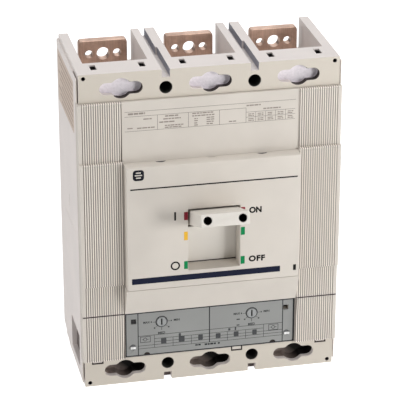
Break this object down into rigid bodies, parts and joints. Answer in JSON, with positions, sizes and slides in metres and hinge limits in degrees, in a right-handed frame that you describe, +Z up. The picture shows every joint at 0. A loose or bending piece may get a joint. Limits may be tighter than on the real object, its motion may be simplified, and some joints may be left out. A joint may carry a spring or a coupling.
{
  "type": "molded case circuit breaker",
  "caption": "Molded case circuit breaker with ribbed beige covers, open terminal bays with copper blades, a toggle handle in a raised bezel and an adjustable trip unit.",
  "frame": {"origin": "centre of the flat rear mounting face", "axes": "+Z up towards the upper (line) terminals, +X to the right seen from the front, the front faces -Y"},
  "size_m": [0.2094, 0.1542, 0.268],
  "materials": {
    "case_plastic": "light beige moulded plastic, satin",
    "cover_plastic": "beige moulded plastic, fine texture",
    "handle_plastic": "off-white plastic, smooth",
    "grey_plate": "grey plate, satin",
    "dial_plastic": "grey plastic, satin",
    "fastener_nylon": "white nylon",
    "black_plastic": "black plastic",
    "copper": "bare copper bar, lightly tarnished",
    "copper_braid": "woven copper",
    "silver_alloy": "silver alloy contact tip",
    "steel": "zinc plated steel",
    "spring_steel": "drawn spring wire",
    "bimetal": "rolled bimetal strip",
    "fibre": "vulcanised fibre with steel splitter plates",
    "dark_resin": "dark moulded resin"
  },
  "bodies": {
    "case": {"base": "case_plastic", "front_cover": "cover_plastic", "trip_unit_cover": "cover_plastic", "escutcheon": "cover_plastic", "trip_unit_face": "grey_plate", "trip_unit_housing": "dark_resin", "mechanism_plate_left": "steel", "mechanism_plate_right": "steel", "spring_anchor_pin": "steel", "main_spring_left": "spring_steel", "main_spring_right": "spring_steel", "upper_terminal_1": "copper", "upper_terminal_2": "copper", "upper_terminal_3": "copper", "lower_terminal_1": "copper", "lower_terminal_2": "copper", "lower_terminal_3": "copper", "fixed_contact_1": "silver_alloy", "fixed_contact_2": "silver_alloy", "fixed_contact_3": "silver_alloy", "arc_chute_1": "fibre", "arc_chute_2": "fibre", "arc_chute_3": "fibre", "flexible_braid_1": "copper_braid", "flexible_braid_2": "copper_braid", "flexible_braid_3": "copper_braid", "bimetal_1": "bimetal", "bimetal_2": "bimetal", "bimetal_3": "bimetal", "magnet_yoke_1": "steel", "magnet_yoke_2": "steel", "magnet_yoke_3": "steel", "cover_screw_1": "steel", "cover_screw_2": "steel", "cover_screw_3": "steel", "cover_screw_4": "steel"},
    "handle": {"toggle_handle": "handle_plastic", "handle_yoke": "steel"},
    "shutter": {"handle_shutter": "handle_plastic"},
    "contact_shaft": {"crossbar": "dark_resin", "contact_arm_1": "copper", "contact_arm_2": "copper", "contact_arm_3": "copper"},
    "drive_links": {"drive_link_left": "steel", "drive_link_right": "steel"},
    "latch": {"latch_lever": "steel"},
    "trip_shaft": {"trip_bar": "dark_resin"},
    "test_button": {"trip_button": "black_plastic"},
    "thermal_adjuster": {"thermal_dial": "dial_plastic"},
    "magnetic_adjuster": {"magnetic_dial": "dial_plastic"},
    "left_fastener": {"face_fastener_left": "fastener_nylon"},
    "right_fastener": {"face_fastener_right": "fastener_nylon"},
    "armature_pole_1": {"armature_1": "steel"},
    "armature_pole_2": {"armature_2": "steel"},
    "armature_pole_3": {"armature_3": "steel"}
  },
  "joints": [
    {"name": "handle_toggle", "type": "hinge", "parent": "case", "child": "handle", "pos_m": [0, -0.06, -0.005], "axis": [1, 0, 0], "range_deg": [0, 40], "deforming": ["main_spring_left", "main_spring_right"]},
    {"name": "shutter_slide", "type": "slide", "parent": "case", "child": "shutter", "axis": [0, 0, 1], "range_m": [-0.02742, 0]},
    {"name": "contact_shaft_turn", "type": "hinge", "parent": "case", "child": "contact_shaft", "pos_m": [0, -0.038, -0.008], "axis": [1, 0, 0], "range_deg": [0, 40], "deforming": ["flexible_braid_1", "flexible_braid_2", "flexible_braid_3"]},
    {"name": "drive_link_pivot", "type": "hinge", "parent": "handle", "child": "drive_links", "pos_m": [0, -0.06, -0.027], "axis": [1, 0, 0], "range_deg": [-40, 0]},
    {"name": "latch_pivot", "type": "hinge", "parent": "case", "child": "latch", "pos_m": [0, -0.027, 0.026], "axis": [1, 0, 0], "range_deg": [-6, 0]},
    {"name": "trip_bar_turn", "type": "hinge", "parent": "case", "child": "trip_shaft", "pos_m": [0, -0.07, -0.056], "axis": [1, 0, 0], "range_deg": [0, 7.5]},
    {"name": "trip_button_push", "type": "slide", "parent": "case", "child": "test_button", "axis": [0, 1, 0], "range_m": [0, 0.003]},
    {"name": "thermal_dial_turn", "type": "hinge", "parent": "case", "child": "thermal_adjuster", "pos_m": [-0.04, -0.099, -0.081], "axis": [0, -1, 0], "range_deg": [-90, 90]},
    {"name": "magnetic_dial_turn", "type": "hinge", "parent": "case", "child": "magnetic_adjuster", "pos_m": [0.0344, -0.099, -0.081], "axis": [0, -1, 0], "range_deg": [-90, 90]},
    {"name": "left_fastener_turn", "type": "hinge", "parent": "case", "child": "left_fastener", "pos_m": [-0.0637, -0.099, -0.102], "axis": [0, -1, 0], "range_deg": [0, 90]},
    {"name": "right_fastener_turn", "type": "hinge", "parent": "case", "child": "right_fastener", "pos_m": [0.0637, -0.099, -0.102], "axis": [0, -1, 0], "range_deg": [0, 90]},
    {"name": "armature_1_pull", "type": "hinge", "parent": "case", "child": "armature_pole_1", "pos_m": [-0.07, -0.0652, -0.095], "axis": [1, 0, 0], "range_deg": [-2.8, 0]},
    {"name": "armature_2_pull", "type": "hinge", "parent": "case", "child": "armature_pole_2", "pos_m": [0, -0.0652, -0.095], "axis": [1, 0, 0], "range_deg": [-2.8, 0]},
    {"name": "armature_3_pull", "type": "hinge", "parent": "case", "child": "armature_pole_3", "pos_m": [0.07, -0.0652, -0.095], "axis": [1, 0, 0], "range_deg": [-2.8, 0]}
  ],
  "couplings": [
    {"joint": "shutter_slide", "follows": "handle_toggle", "m_per_rad": -0.039205},
    {"joint": "contact_shaft_turn", "follows": "handle_toggle", "ratio": 1},
    {"joint": "drive_link_pivot", "follows": "handle_toggle", "ratio": -1},
    {"joint": "trip_bar_turn", "follows": "trip_button_push", "rad_per_m": 43.623},
    {"joint": "latch_pivot", "follows": "trip_button_push", "rad_per_m": -34.897}
  ]
}
